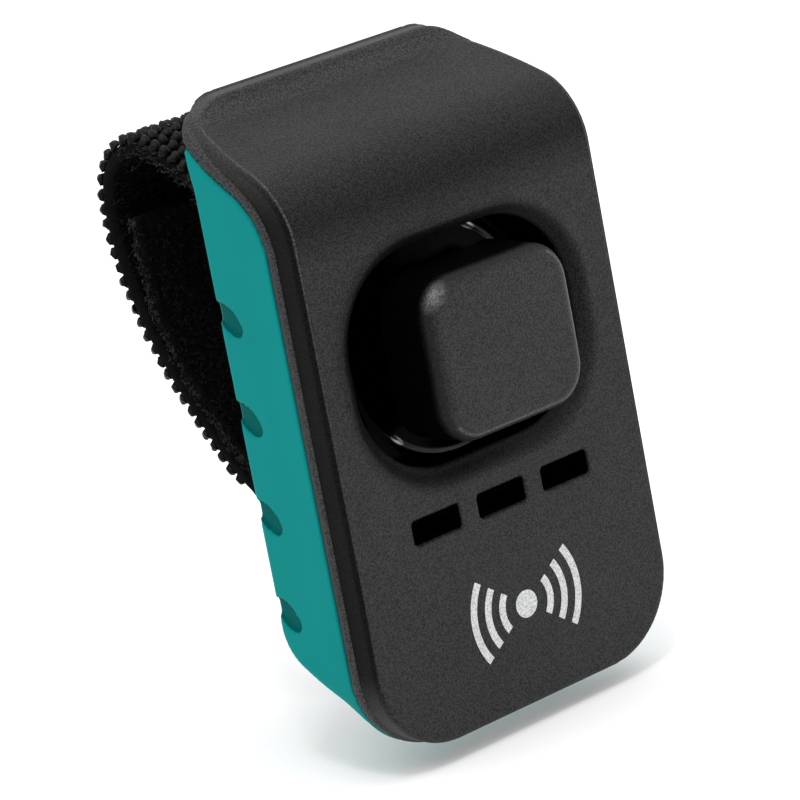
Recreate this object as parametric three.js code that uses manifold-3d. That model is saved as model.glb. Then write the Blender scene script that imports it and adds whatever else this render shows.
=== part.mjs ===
// A finger clicker for training animals: a two-shell case worn on the finger by a hook-and-loop
// strap, with a tall square thumb button that snaps a domed spring-steel plate.
//
// Millimetres. +X is across the case, -Y is out of the front face (the button is pressed along +Y)
// and +Z runs up the case to its thin end, which flares back over the finger. The origin is the
// centre of the flat back, where the finger rests. Neighbouring pieces keep a small gap, CLEARANCE,
// wherever they would touch.
import * as THREE from "three";
import { mergeVertices } from "three/addons/utils/BufferGeometryUtils.js";
import Module from "manifold-3d";

const wasm = await Module();
wasm.setup();

// ---- Driving dimensions ----
const CLEARANCE = 0.3;

// Case
const CASE_WIDTH = 29.8;
const TOP_Z = 24.3;
const BOTTOM_Z = -25.3;
const TOP_CORNER_RADIUS = 5.6;
const BOTTOM_CORNER_RADIUS = 7;
const FRONT_Y = -9.9;
const WALL = 1.6;
const COVER_WALL = 1.7;
const PARTING_Y = -7;
const LIP_HEIGHT = 0.8;
const SIDE_INSET = 0.2;
const HALF_WIDTH = CASE_WIDTH / 2;
const BEHIND_Y = 6;

// Sections through the case are bounded by lines that each run straight up, through two arcs and
// straight up again, an S. The front and the parting line run back to the thin end and the back
// flares out there. At the other end the back comes forward to a thin rim at the parting line.
const FRONT_S = { y0: FRONT_Y, z0: 14.05, r0: 5.9, y1: 1, z1: 23.5, r1: 1.5 };
const PARTING_S = { y0: PARTING_Y, z0: 13.1, r0: 5.75, y1: 3.3, z1: 23.2, r1: 0.8 };
const BACK_S = { y0: 0, z0: 17.6, r0: 6, y1: 3.2, z1: 26, r1: 6 };
const BOTTOM_S = { y0: -6.45, z0: -23, r0: 3.3, y1: 0, z1: -15.2, r1: 3.5 };
const SHELL_TIP_Z = 21;

// Button and the opening around it
const BUTTON_Z = 3.15;
const BUTTON_WIDTH = 13.2;
const BUTTON_HEIGHT = 11.8;
const BUTTON_RADIUS = 3;
const BUTTON_FRONT_Y = -14.1;
const BUTTON_SKIRT_Y = -8.2;
const BUTTON_DRAFT = 0.4;
const BUTTON_WALL = 1.3;
const HOLE = { halfX: 10.8, halfZ: 8.2, radius: 7, z: 3 };
const RECESS = { halfX: 12.1, halfZ: 9.6, radius: 8, z: 2.6 };
const RECESS_DEPTH = 0.9;
const COLLAR_WALL = 1.3;

// Sound slots
const SLOT_COUNT = 3;
const SLOT_PITCH = 6.46;
const SLOT_WIDTH = 4.7;
const SLOT_HEIGHT = 1.86;
const SLOT_Z = -9.03;

// Click plate and its carrier
const PLATE = { halfX: 11.8, halfZ: 9.9, radius: 3 };
const PLATE_THICKNESS = 0.4;
const PLATE_FRONT_Y = -6.2;
const DOME_RADIUS = 8.2;
const DOME_HEIGHT = 1.5;
const CARRIER_BACK_Y = -4.1;
const CARRIER_OPENING = { halfX: 9.8, halfZ: 8.6, radius: 6 };
const CARRIER_SCREW_X = 11.2;
const CARRIER_SCREW_DZ = 11.3;

// Grip dimples on the back edges of the sides: flat-floored ovals, leaning back as they rise
const DIMPLE_COUNT = 4;
const DIMPLE_PITCH = 7.53;
const DIMPLE_TOP_Z = 8.5;
const DIMPLE_Y = -1.2;
const DIMPLE_DEPTH = 0.7;
const DIMPLE_HALF_LENGTH = 1.5;
const DIMPLE_HALF_WIDTH = 0.85;
const DIMPLE_LEAN = 0.75;

// Case screws
const CASE_SCREWS = [
  { name: "upper_left", x: -12.1, z: 17.8, shellTop: -3.9, tip: -6 },
  { name: "upper_right", x: 12.1, z: 17.8, shellTop: -3.9, tip: -6 },
  { name: "lower_left", x: -10.6, z: -14.8, shellTop: -6.1, tip: -7.9 },
  { name: "lower_right", x: 10.6, z: -14.8, shellTop: -6.1, tip: -7.9 },
];
const CASE_SCREW_HEAD_RADIUS = 1.3;
const CASE_SCREW_RADIUS = 0.7;
const CASE_SCREW_SEAT_Y = -1.3;

// Strap: two tapes, each hemmed round a steel pin in a pocket of the back
const STRAP_WIDTH = 20;
const PIN_RADIUS = 0.6;
const PIN_Y = -1.2;
const UPPER_PIN_Z = 12.4;
const LOWER_PIN_Z = -9.5;
const HEM_BORE = PIN_RADIUS + 0.25;
const HEM_RADIUS = 1.6;
const OUTER_TAPE = 1.2;
const INNER_TAPE = 0.8;
const POCKET_DEPTH = 3.1;
const POCKET_SHELL = 0.7;
const POCKETS = [
  { low: 10.4, high: 15.6 },
  { low: -11.6, high: -6.9 },
];

// Middle lines of the two tapes as (y, z), from the pin to the free end.
const OUTER_TAPE_LINE = [
  [PIN_Y, UPPER_PIN_Z], [2.8, 13.55], [7.5, 17.4], [10.5, 18.85], [13, 19.5], [15.3, 18.9],
  [17.25, 17], [17.9, 14.1], [17.45, 10.2], [15.95, 5.5], [13.7, 1.5], [11.4, -1.6],
  [8.55, -5], [6.35, -6.95],
];
const INNER_TAPE_LINE = [
  [PIN_Y, LOWER_PIN_Z], [2.6, -7.6], [5.2, -6], [7.6, -4.15], [10.4, -0.8], [12.6, 2.25],
  [14.15, 6], [14.75, 10], [14.85, 14],
];

// ---- Materials ----
const finish = (color, roughness, metalness = 0) =>
  new THREE.MeshStandardMaterial({ color, roughness, metalness });
const softBlack = finish(0x3a3a3b, 0.6);
const teal = finish(0x168a85, 0.45);
const innerBlack = finish(0x202022, 0.5);
const springSteel = finish(0xc4c6c8, 0.2, 1);
const screwSteel = finish(0x8d8f93, 0.35, 1);
const strapBlack = finish(0x141416, 0.95);

// ---- Shape tools ----
function solid(geometry) {
  const bare = geometry.clone();
  bare.deleteAttribute("normal");
  bare.deleteAttribute("uv");
  const merged = mergeVertices(bare, 1e-4);
  return new wasm.Manifold(
    new wasm.Mesh({
      numProp: 3,
      vertProperties: merged.attributes.position.array,
      triVerts: new Uint32Array(merged.index.array),
    }),
  );
}

function geometryOf(manifold) {
  const mesh = manifold.getMesh();
  return new THREE.BufferGeometry()
    .setAttribute("position", new THREE.BufferAttribute(mesh.vertProperties, 3))
    .setIndex(new THREE.BufferAttribute(mesh.triVerts, 1));
}

// An outline in the XZ plane through four round corners, given by their centres and radii.
function roundedCorners(corners, steps) {
  return corners.flatMap(({ x, z, radius }, quarter) =>
    Array.from({ length: steps + 1 }, (_, i) => {
      const angle = (Math.PI / 2) * (quarter + i / steps);
      return new THREE.Vector2(x + radius * Math.cos(angle), z + radius * Math.sin(angle));
    }),
  );
}

function roundedRectangle({ halfX, halfZ, radius, x = 0, z = 0 }, steps = 8) {
  const corner = (sideX, sideZ) => ({
    x: x + sideX * (halfX - radius),
    z: z + sideZ * (halfZ - radius),
    radius,
  });
  return roundedCorners([corner(1, 1), corner(-1, 1), corner(-1, -1), corner(1, -1)], steps);
}

const grown = (rectangle, by) => ({
  ...rectangle,
  halfX: rectangle.halfX + by,
  halfZ: rectangle.halfZ + by,
  radius: rectangle.radius + by,
});

// An XZ outline pushed along Y from its low to its high value.
function prismY(points, low, high) {
  const geometry = new THREE.ExtrudeGeometry(new THREE.Shape(points), {
    depth: high - low,
    bevelEnabled: false,
  });
  return solid(geometry.rotateX(Math.PI / 2).translate(0, high, 0));
}

// A YZ outline pushed along X, centred on x.
function prismX(points, width, x = 0) {
  const shape = new THREE.Shape(points.map(([y, z]) => new THREE.Vector2(y, z)));
  const geometry = new THREE.ExtrudeGeometry(shape, { depth: width, bevelEnabled: false });
  const turn = new THREE.Matrix4().makeBasis(
    new THREE.Vector3(0, 1, 0),
    new THREE.Vector3(0, 0, 1),
    new THREE.Vector3(1, 0, 0),
  );
  return solid(geometry.applyMatrix4(turn).translate(x - width / 2, 0, 0));
}

// A body through a stack of XZ outlines with equal numbers of points, each at its own y.
function loftY(rings) {
  const count = rings[0].points.length;
  const positions = rings.flatMap(({ y, points }) => points.flatMap((p) => [p.x, y, p.y]));
  const faces = [];
  for (let level = 0; level + 1 < rings.length; level++) {
    for (let i = 0; i < count; i++) {
      const a = level * count + i;
      const b = level * count + ((i + 1) % count);
      faces.push(a, a + count, b, b, a + count, b + count);
    }
  }
  const last = (rings.length - 1) * count;
  for (let i = 1; i + 1 < count; i++) {
    faces.push(0, i, i + 1, last, last + i + 1, last + i);
  }
  const geometry = new THREE.BufferGeometry()
    .setAttribute("position", new THREE.Float32BufferAttribute(positions, 3))
    .setIndex(faces);
  return solid(geometry);
}

// A body turned round a line along Y through (x, z), from (radius, y) points.
function turnedY(profile, x, z, steps = 20) {
  const points = profile.map(([radius, y]) => new THREE.Vector2(radius, y));
  return solid(new THREE.LatheGeometry(points, steps).translate(x, 0, z));
}

const cylinderY = (radius, low, high, x, z, steps = 20) =>
  turnedY([[0, low], [radius, low], [radius, high], [0, high]], x, z, steps);

const cylinderX = (radius, length, y, z) =>
  solid(new THREE.CylinderGeometry(radius, radius, length, 20).rotateZ(Math.PI / 2).translate(0, y, z));

// The S of two arcs and the line between them, as (y, z), moved into the material by an inset.
function sCurve({ y0, z0, r0, y1, z1, r1 }, inset = 0, steps = 10) {
  const centre0 = [y0 + r0, z0];
  const centre1 = [y1 - r1, z1];
  const dy = centre1[0] - centre0[0];
  const dz = centre1[1] - centre0[1];
  const lean = Math.atan2(dz, dy) + Math.acos((r0 + r1) / Math.hypot(dy, dz));
  const points = [];
  for (let i = 0; i <= steps; i++) {
    const angle = Math.PI + (lean - Math.PI) * (i / steps);
    points.push([
      centre0[0] + (r0 - inset) * Math.cos(angle),
      centre0[1] + (r0 - inset) * Math.sin(angle),
    ]);
  }
  for (let i = 0; i <= steps; i++) {
    const angle = lean + Math.PI + (Math.PI - lean) * (i / steps);
    points.push([
      centre1[0] + (r1 + inset) * Math.cos(angle),
      centre1[1] + (r1 + inset) * Math.sin(angle),
    ]);
  }
  return points;
}

const everyXSide = (make) => [-1, 1].map(make);
const subtractAll = (body, cuts) => cuts.reduce((rest, cut) => rest.subtract(cut), body);
const intersectAll = (body, others) => others.reduce((rest, other) => rest.intersect(other), body);
const addAll = (body, pieces) => pieces.reduce((sum, piece) => sum.add(piece), body);

function caseOutline(inset) {
  const top = TOP_CORNER_RADIUS;
  const bottom = BOTTOM_CORNER_RADIUS;
  const corner = (side, z, radius) => ({ x: side * (HALF_WIDTH - radius), z, radius: radius - inset });
  const corners = [
    corner(1, TOP_Z - top, top),
    corner(-1, TOP_Z - top, top),
    corner(-1, BOTTOM_Z + bottom, bottom),
    corner(1, BOTTOM_Z + bottom, bottom),
  ];
  return roundedCorners(corners, 10);
}

// All that lies between an S and a plane, y = far, in front of it or behind it.
function besideS(s, inset, far) {
  const curve = sCurve(s, inset);
  const low = BOTTOM_Z - 2;
  const high = TOP_Z + 2;
  const points = [[far, low], [curve[0][0], low], ...curve, [curve.at(-1)[0], high], [far, high]];
  return prismX(points, CASE_WIDTH + 2);
}

const inFrontOf = (s, inset = 0) => besideS(s, inset, FRONT_Y - 3);
const behind = (s, inset = 0) => besideS(s, inset, BEHIND_Y);

// ---- Case ----
const carrierScrewPlaces = [-1, 1].flatMap((sideX) =>
  [-1, 1].map((sideZ) => ({
    name: (sideZ > 0 ? "upper" : "lower") + (sideX < 0 ? "_left" : "_right"),
    x: sideX * CARRIER_SCREW_X,
    z: BUTTON_Z + sideZ * CARRIER_SCREW_DZ,
  })),
);

function frontCover() {
  const face = loftY([
    { y: FRONT_Y, points: caseOutline(SIDE_INSET + 0.3) },
    { y: FRONT_Y + 0.3, points: caseOutline(SIDE_INSET) },
    { y: BEHIND_Y, points: caseOutline(SIDE_INSET) },
  ]);
  const lip = behind(PARTING_S, -LIP_HEIGHT).intersect(prismY(caseOutline(0), FRONT_Y, BEHIND_Y));
  const outer = intersectAll(face.add(lip), [
    behind(FRONT_S),
    inFrontOf(PARTING_S, -CLEARANCE / 2),
    inFrontOf(BACK_S),
  ]);
  const cavity = behind(FRONT_S, COVER_WALL).intersect(prismY(caseOutline(WALL), FRONT_Y, BEHIND_Y));
  const collar = prismY(roundedRectangle(grown(HOLE, COLLAR_WALL)), FRONT_Y + 0.5, PLATE_FRONT_Y - CLEARANCE);
  const caseBosses = CASE_SCREWS.map(({ x, z, shellTop }) =>
    cylinderY(1.7, FRONT_Y + 1, shellTop - CLEARANCE, x, z),
  );
  const carrierBosses = carrierScrewPlaces.map(({ x, z }) =>
    cylinderY(1.45, FRONT_Y + 1, PLATE_FRONT_Y + PLATE_THICKNESS, x, z),
  );
  const pilots = [
    ...CASE_SCREWS.map(({ x, z, tip }) => cylinderY(1, tip - 0.3, 0, x, z)),
    ...carrierScrewPlaces.map(({ x, z }) => cylinderY(0.9, -8.4, 0, x, z)),
  ];
  const room = outer.add(prismY(caseOutline(WALL + CLEARANCE), FRONT_Y, -1)).intersect(behind(FRONT_S));
  const inside = addAll(collar, [...caseBosses, ...carrierBosses]).intersect(room);
  const slots = Array.from({ length: SLOT_COUNT }, (_, i) => ({
    halfX: SLOT_WIDTH / 2,
    halfZ: SLOT_HEIGHT / 2,
    radius: 0.25,
    x: (i - (SLOT_COUNT - 1) / 2) * SLOT_PITCH,
    z: SLOT_Z,
  })).map((slot) => prismY(roundedRectangle(slot, 2), FRONT_Y - 1, FRONT_Y + COVER_WALL + 1));
  const recess = loftY([
    { y: FRONT_Y - 0.5, points: roundedRectangle(grown(RECESS, 0.5)) },
    { y: FRONT_Y, points: roundedRectangle(RECESS) },
    { y: FRONT_Y + RECESS_DEPTH, points: roundedRectangle(HOLE) },
    { y: 0, points: roundedRectangle(HOLE) },
  ]);
  return subtractAll(outer.subtract(cavity).add(inside), [...slots, ...pilots, recess]);
}

function backShell() {
  const tip = new THREE.BoxGeometry(CASE_WIDTH, 10, 10).translate(0, 0, SHELL_TIP_Z + 5);
  const outer = intersectAll(prismY(caseOutline(0), FRONT_Y, BEHIND_Y), [
    behind(PARTING_S, CLEARANCE / 2),
    inFrontOf(BACK_S),
    inFrontOf(BOTTOM_S),
  ]).subtract(solid(tip));
  const cavity = intersectAll(prismY(caseOutline(WALL), FRONT_Y, BEHIND_Y), [
    inFrontOf(BACK_S, -WALL),
    inFrontOf(BOTTOM_S, -WALL),
  ]);
  const halfPocket = STRAP_WIDTH / 2 + 0.4;
  const pocketBlock = ({ low, high }, by) => {
    const front = -POCKET_DEPTH - by;
    const section = [[front, low - by], [1 - by, low - by], [1 - by, high + by], [front, high + by]];
    return prismX(section, 2 * (halfPocket + by));
  };
  const bosses = CASE_SCREWS.map(({ x, z, shellTop }) => cylinderY(1.9, shellTop, -0.5, x, z));
  const stopPost = cylinderY(2.2, -2.7, -0.5, 0, BUTTON_Z);
  const pocketSkins = POCKETS.map((pocket) => pocketBlock(pocket, POCKET_SHELL)).map((block) =>
    block.intersect(prismY(caseOutline(WALL), FRONT_Y, -0.5)),
  );
  const screwWays = CASE_SCREWS.flatMap(({ x, z }) => [
    cylinderY(CASE_SCREW_RADIUS + 0.25, -9, 1, x, z),
    cylinderY(CASE_SCREW_HEAD_RADIUS + 0.3, CASE_SCREW_SEAT_Y - 0.3, 1, x, z),
  ]);
  const pinHoles = [UPPER_PIN_Z, LOWER_PIN_Z].map((z) =>
    cylinderX(PIN_RADIUS + 0.15, 2 * (halfPocket + 1.6), PIN_Y, z),
  );
  const dimples = everyXSide((side) =>
    Array.from({ length: DIMPLE_COUNT }, (_, i) =>
      solid(
        new THREE.CylinderGeometry(1, 1, 2 * DIMPLE_DEPTH, 20)
          .rotateZ(Math.PI / 2)
          .scale(1, DIMPLE_HALF_LENGTH, DIMPLE_HALF_WIDTH)
          .rotateX(DIMPLE_LEAN)
          .translate(side * HALF_WIDTH, DIMPLE_Y, DIMPLE_TOP_Z - i * DIMPLE_PITCH),
      ),
    ),
  ).flat();
  const body = addAll(outer.subtract(cavity), [...bosses, stopPost, ...pocketSkins]).intersect(outer);
  return subtractAll(body, [
    ...POCKETS.map((pocket) => pocketBlock(pocket, 0)),
    ...screwWays,
    ...pinHoles,
    ...dimples,
  ]);
}

// A screw along Y whose head faces +Y, with a cross recess; seat is the y under its head.
function screw({ x, z, seat, tip, headRadius, headHeight, radius, sunk = false }) {
  const head = sunk
    ? [[radius, seat - headHeight], [headRadius, seat], [0, seat]]
    : [[headRadius, seat], [headRadius, seat + 0.7 * headHeight], [0.7 * headRadius, seat + headHeight],
       [0, seat + headHeight]];
  const foot = sunk ? [[radius, seat - headHeight]] : [[radius, seat]];
  const profile = [[0, tip], [0.5 * radius, tip], [radius, tip + 0.5], ...foot, ...head];
  const top = sunk ? seat : seat + headHeight;
  const arm = new THREE.BoxGeometry(1.2 * headRadius, 0.8, 0.28 * headRadius);
  const cross = [0, Math.PI / 2].map((angle) => solid(arm.clone().rotateY(angle).translate(x, top, z)));
  return subtractAll(turnedY(profile, x, z, 16), cross);
}

const caseScrew = ({ x, z, tip }) =>
  screw({
    x, z, tip,
    seat: CASE_SCREW_SEAT_Y,
    headRadius: CASE_SCREW_HEAD_RADIUS,
    headHeight: 0.9,
    radius: CASE_SCREW_RADIUS,
  });

// ---- Click plate and carrier ----
function clickPlate() {
  const steps = 8;
  const front = [];
  const back = [];
  for (let i = 0; i <= steps; i++) {
    const radius = 1 + ((DOME_RADIUS - 1) * i) / steps;
    const rise = DOME_HEIGHT * Math.cos((Math.PI / 2) * (radius / DOME_RADIUS)) ** 2;
    front.push([radius, PLATE_FRONT_Y - rise]);
    back.push([radius, PLATE_FRONT_Y + PLATE_THICKNESS - rise]);
  }
  const beyond = PLATE.halfX + PLATE.halfZ;
  const profile = [
    ...front,
    [beyond, PLATE_FRONT_Y],
    [beyond, PLATE_FRONT_Y + PLATE_THICKNESS],
    ...back.reverse(),
    front[0],
  ];
  const outline = prismY(roundedRectangle({ ...PLATE, z: BUTTON_Z }), -9, -4);
  return turnedY(profile, 0, BUTTON_Z, 36).intersect(outline);
}

function plateCarrier() {
  const ledgeY = PLATE_FRONT_Y + PLATE_THICKNESS + CLEARANCE;
  const frame = { halfX: HALF_WIDTH - WALL - CLEARANCE, halfZ: 13.1, radius: 3, z: BUTTON_Z };
  const seat = grown({ ...PLATE, z: BUTTON_Z }, CLEARANCE);
  const screws = carrierScrewPlaces.flatMap(({ x, z }) => [
    cylinderY(0.9, -9, 0, x, z),
    turnedY([[0, -5.1], [0.9, -5.1], [1.55, CARRIER_BACK_Y + 0.1], [0, CARRIER_BACK_Y + 0.1]], x, z, 16),
  ]);
  const ears = carrierScrewPlaces.map(({ x, z }) => cylinderY(1.75, -9, ledgeY, x, z));
  return subtractAll(prismY(roundedRectangle(frame), PLATE_FRONT_Y, CARRIER_BACK_Y), [
    prismY(roundedRectangle(seat), -9, ledgeY),
    prismY(roundedRectangle({ ...CARRIER_OPENING, z: BUTTON_Z }), -9, 0),
    ...ears,
    ...screws,
  ]);
}

const carrierScrew = ({ x, z }) =>
  screw({ x, z, tip: -8, seat: CARRIER_BACK_Y, headRadius: 1.2, headHeight: 0.6, radius: 0.6, sunk: true });

// ---- Button ----
const buttonRing = (by) => ({
  halfX: BUTTON_WIDTH / 2 + by,
  halfZ: BUTTON_HEIGHT / 2 + by,
  radius: BUTTON_RADIUS + by,
  z: BUTTON_Z,
});

function buttonCap() {
  const outer = loftY([
    { y: BUTTON_FRONT_Y, points: roundedRectangle(buttonRing(-0.55)) },
    { y: BUTTON_FRONT_Y + 0.15, points: roundedRectangle(buttonRing(-0.18)) },
    { y: BUTTON_FRONT_Y + 0.5, points: roundedRectangle(buttonRing(0)) },
    { y: BUTTON_SKIRT_Y, points: roundedRectangle(buttonRing(BUTTON_DRAFT)) },
  ]);
  const bore = prismY(roundedRectangle(buttonRing(-BUTTON_WALL)), BUTTON_FRONT_Y + 1.3, 0);
  return outer.subtract(bore);
}

function buttonCore() {
  const block = prismY(
    roundedRectangle(buttonRing(-BUTTON_WALL - CLEARANCE)),
    BUTTON_FRONT_Y + 1.3 + CLEARANCE,
    BUTTON_SKIRT_Y - 0.2,
  );
  const foot = cylinderY(2.2, -9.5, PLATE_FRONT_Y - DOME_HEIGHT - CLEARANCE, 0, BUTTON_Z);
  return block.add(foot).subtract(cylinderY(0.95, -11.6, 0, 0, BUTTON_Z));
}

function buttonWasher() {
  return cylinderY(2, -7, -6.6, 0, BUTTON_Z).subtract(cylinderY(0.95, -8, -5, 0, BUTTON_Z));
}

const buttonScrew = () =>
  screw({ x: 0, z: BUTTON_Z, tip: -11.2, seat: -6.3, headRadius: 1.6, headHeight: 1.1, radius: 0.7 });

// ---- Strap ----
// A tape of even thickness along a smooth line, with a hem round its pin.
function strapTape(line, thickness, pinZ) {
  const curve = new THREE.CatmullRomCurve3(
    line.map(([y, z]) => new THREE.Vector3(0, y, z)),
    false,
    "centripetal",
  );
  const steps = 44;
  const left = [];
  const right = [];
  for (let i = 0; i <= steps; i++) {
    const point = curve.getPointAt(i / steps);
    const along = curve.getTangentAt(i / steps);
    const half = thickness / 2;
    left.push([point.y - half * along.z, point.z + half * along.y]);
    right.push([point.y + half * along.z, point.z - half * along.y]);
  }
  const ribbon = prismX([...right, ...left.reverse()], STRAP_WIDTH);
  const hem = cylinderX(HEM_RADIUS, STRAP_WIDTH, PIN_Y, pinZ);
  return ribbon.add(hem).subtract(cylinderX(HEM_BORE, STRAP_WIDTH + 2, PIN_Y, pinZ));
}

const strapPin = (z) => cylinderX(PIN_RADIUS, STRAP_WIDTH + 3, PIN_Y, z);

// ---- Assembly ----
const clicker = new THREE.Group();

function place(name, manifold, material) {
  const mesh = new THREE.Mesh(geometryOf(manifold), material);
  mesh.name = name;
  clicker.add(mesh);
}

place("front_cover", frontCover(), softBlack);
place("back_shell", backShell(), teal);
CASE_SCREWS.forEach((at) => place("case_screw_" + at.name, caseScrew(at), screwSteel));
place("plate_carrier", plateCarrier(), innerBlack);
carrierScrewPlaces.forEach((at) => place("carrier_screw_" + at.name, carrierScrew(at), screwSteel));
place("click_plate", clickPlate(), springSteel);
place("button_cap", buttonCap(), softBlack);
place("button_core", buttonCore(), innerBlack);
place("button_washer", buttonWasher(), screwSteel);
place("button_screw", buttonScrew(), screwSteel);
place("strap_pin_upper", strapPin(UPPER_PIN_Z), screwSteel);
place("strap_pin_lower", strapPin(LOWER_PIN_Z), screwSteel);
place("strap_outer_tape", strapTape(OUTER_TAPE_LINE, OUTER_TAPE, UPPER_PIN_Z), strapBlack);
place("strap_inner_tape", strapTape(INNER_TAPE_LINE, INNER_TAPE, LOWER_PIN_Z), strapBlack);

export default clicker;
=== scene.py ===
# A finger clicker for training animals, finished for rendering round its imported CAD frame.
# Lengths in this script are millimetres until a mesh is made; MM turns them into metres.
import math

import bpy
import numpy as np
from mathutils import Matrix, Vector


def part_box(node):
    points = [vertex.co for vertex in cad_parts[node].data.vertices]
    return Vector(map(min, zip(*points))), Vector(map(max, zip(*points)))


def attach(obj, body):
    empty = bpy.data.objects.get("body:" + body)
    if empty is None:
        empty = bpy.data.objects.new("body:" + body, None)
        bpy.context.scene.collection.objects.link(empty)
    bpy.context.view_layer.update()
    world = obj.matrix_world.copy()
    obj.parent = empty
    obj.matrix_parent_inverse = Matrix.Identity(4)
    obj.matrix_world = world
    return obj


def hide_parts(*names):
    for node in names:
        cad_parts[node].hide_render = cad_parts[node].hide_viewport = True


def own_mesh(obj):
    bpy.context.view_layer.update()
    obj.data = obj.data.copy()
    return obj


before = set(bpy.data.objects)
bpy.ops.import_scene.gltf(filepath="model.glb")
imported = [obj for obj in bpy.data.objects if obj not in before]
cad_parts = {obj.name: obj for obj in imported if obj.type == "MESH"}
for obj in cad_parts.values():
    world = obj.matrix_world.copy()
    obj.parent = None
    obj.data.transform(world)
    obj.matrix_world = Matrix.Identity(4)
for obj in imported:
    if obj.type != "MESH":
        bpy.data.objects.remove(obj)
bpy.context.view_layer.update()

import openvdb as vdb
from mathutils import Matrix, Vector

MM = 0.001
ZONE_EDGE = 0.04
NOISE_TURN = (0.5, 0.9, 0.3)
GRAIN_SIZE = 0.13
GRAIN_CONTRAST = 0.7
THREAD_PITCH = 0.45

# ---- Sizes from the frame ----


def box_mm(node):
    low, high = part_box(node)
    return np.array(low) / MM, np.array(high) / MM


cover_low, cover_high = box_mm("front_cover")
cap_low, cap_high = box_mm("button_cap")
plate_low, plate_high = box_mm("click_plate")
TOP_DROP = 0.15  # how far the visual top edge lies below the CAD's
HALF_WIDTH = cover_high[0]
TOP_Z = cover_high[2] - TOP_DROP
BOTTOM_Z = cover_low[2]
FRONT_Y = cover_low[1]
BUTTON_X = cap_high[0]
BUTTON_Z = (cap_low[2] + cap_high[2]) / 2
BUTTON_HALF_Z = (cap_high[2] - cap_low[2]) / 2
PLATE_BACK_Y = plate_high[1]

# ---- Sizes that go with the CAD source ----
TOP_CORNER_RADIUS = 5.6
BOTTOM_CORNER_RADIUS = 7
WALL = 1.6
COVER_WALL = 1.7
GAP = 0.3
LIP_HEIGHT = 0.8
SIDE_INSET = 0.2
FRONT_S = dict(y0=FRONT_Y, z0=14.05, r0=5.9, y1=1, z1=23.5, r1=1.5)
PARTING_S = dict(y0=-7, z0=13.1, r0=5.75, y1=3.3, z1=23.2, r1=0.8)
BACK_S = dict(y0=0, z0=17.6, r0=6, y1=3.2, z1=26, r1=6)
BOTTOM_S = dict(y0=-6.45, z0=-23, r0=3.3, y1=0, z1=-15.2, r1=3.5)
HOLE = dict(half_x=10.8, half_z=8.2, radius=7)
HOLE_Z = 3
RECESS = dict(half_x=12.1, half_z=9.6, radius=8)
RECESS_Z = 2.6
RECESS_DEPTH = 0.9
COLLAR_WALL = 1.3
SLOT = dict(half_x=2.35, half_z=0.93, radius=0.25)
SLOT_PITCH = 6.46
SLOT_Z = -9.03
BUTTON_RADIUS = 3
BUTTON_WALL = 1.3
PLATE = dict(half_x=11.8, half_z=9.9, radius=3)
PLATE_THICKNESS = 0.4
DOME_RADIUS = 8.2
DOME_HEIGHT = 1.5
CASE_SCREWS = [(-12.1, 17.8, -3.9), (12.1, 17.8, -3.9), (-10.6, -14.8, -6.1), (10.6, -14.8, -6.1)]
CARRIER_SCREWS = [(x, BUTTON_Z + dz) for x in (-11.2, 11.2) for dz in (-11.3, 11.3)]
DIMPLE_Z = [8.5 - 7.53 * i for i in range(4)]
DIMPLE_LEAN = 0.75
DIMPLE_HALF_WIDTH = 0.85
PIN_Y = -1.2
UPPER_PIN_Z = 12.4
LOWER_PIN_Z = -9.5
POCKETS = [(10.4, 15.6), (-11.6, -6.9)]
POCKET_HALF_WIDTH = 10.4
POCKET_DEPTH = 3.1
POCKET_SKIN = 0.7
HEM_RADIUS = 1.6
HEM_BORE = 0.85
STRAP_WIDTH = 20
OUTER_TAPE = 1.2
INNER_TAPE = 0.8
OUTER_TAPE_LINE = [
    (PIN_Y, UPPER_PIN_Z), (2.8, 13.55), (7.5, 17.4), (10.5, 18.85), (13, 19.5), (15.3, 18.9),
    (17.25, 17), (17.9, 14.1), (17.45, 10.2), (15.95, 5.5), (13.7, 1.5), (11.4, -1.6),
    (8.55, -5), (6.35, -6.95),
]
INNER_TAPE_LINE = [
    (PIN_Y, LOWER_PIN_Z), (2.6, -7.6), (5.2, -6), (7.6, -4.15), (10.4, -0.8), (12.6, 2.25),
    (14.15, 6), (14.75, 10), (14.85, 14),
]

# ---- Sizes that differ a little from the CAD source ----
SEAM = 0.1
BUTTON_DRAFT = 0.12
BUTTON_FILLET = 1.1
DIMPLE_Y = -1.1
DIMPLE_HALF_LENGTH = 1.6
DIMPLE_DEPTH = 0.34

# ---- Details that only this script has ----
PRINT_CENTRE = (0.4, -17.5)
PRINT_DOT_RADIUS = 1.05
PRINT_ARC_RADII = (2.4, 3.8, 5.2)
PRINT_ARC_WIDTH = 0.62
PRINT_ARC_HALF_ANGLE = 0.62
HOOK_PITCH = 1.1
HOOK_HEIGHT = 0.38
HOOK_COLUMNS = np.linspace(-9.6, 9.6, 19)
HOOKS_START = 4.2
PILE_START = 3.5
PILE_HEIGHT = 0.3
RING_RADIUS = DOME_RADIUS + 0.3
FLOOR_GAP = 1.6

rng = np.random.default_rng(7)

# ---- Materials ----


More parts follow.
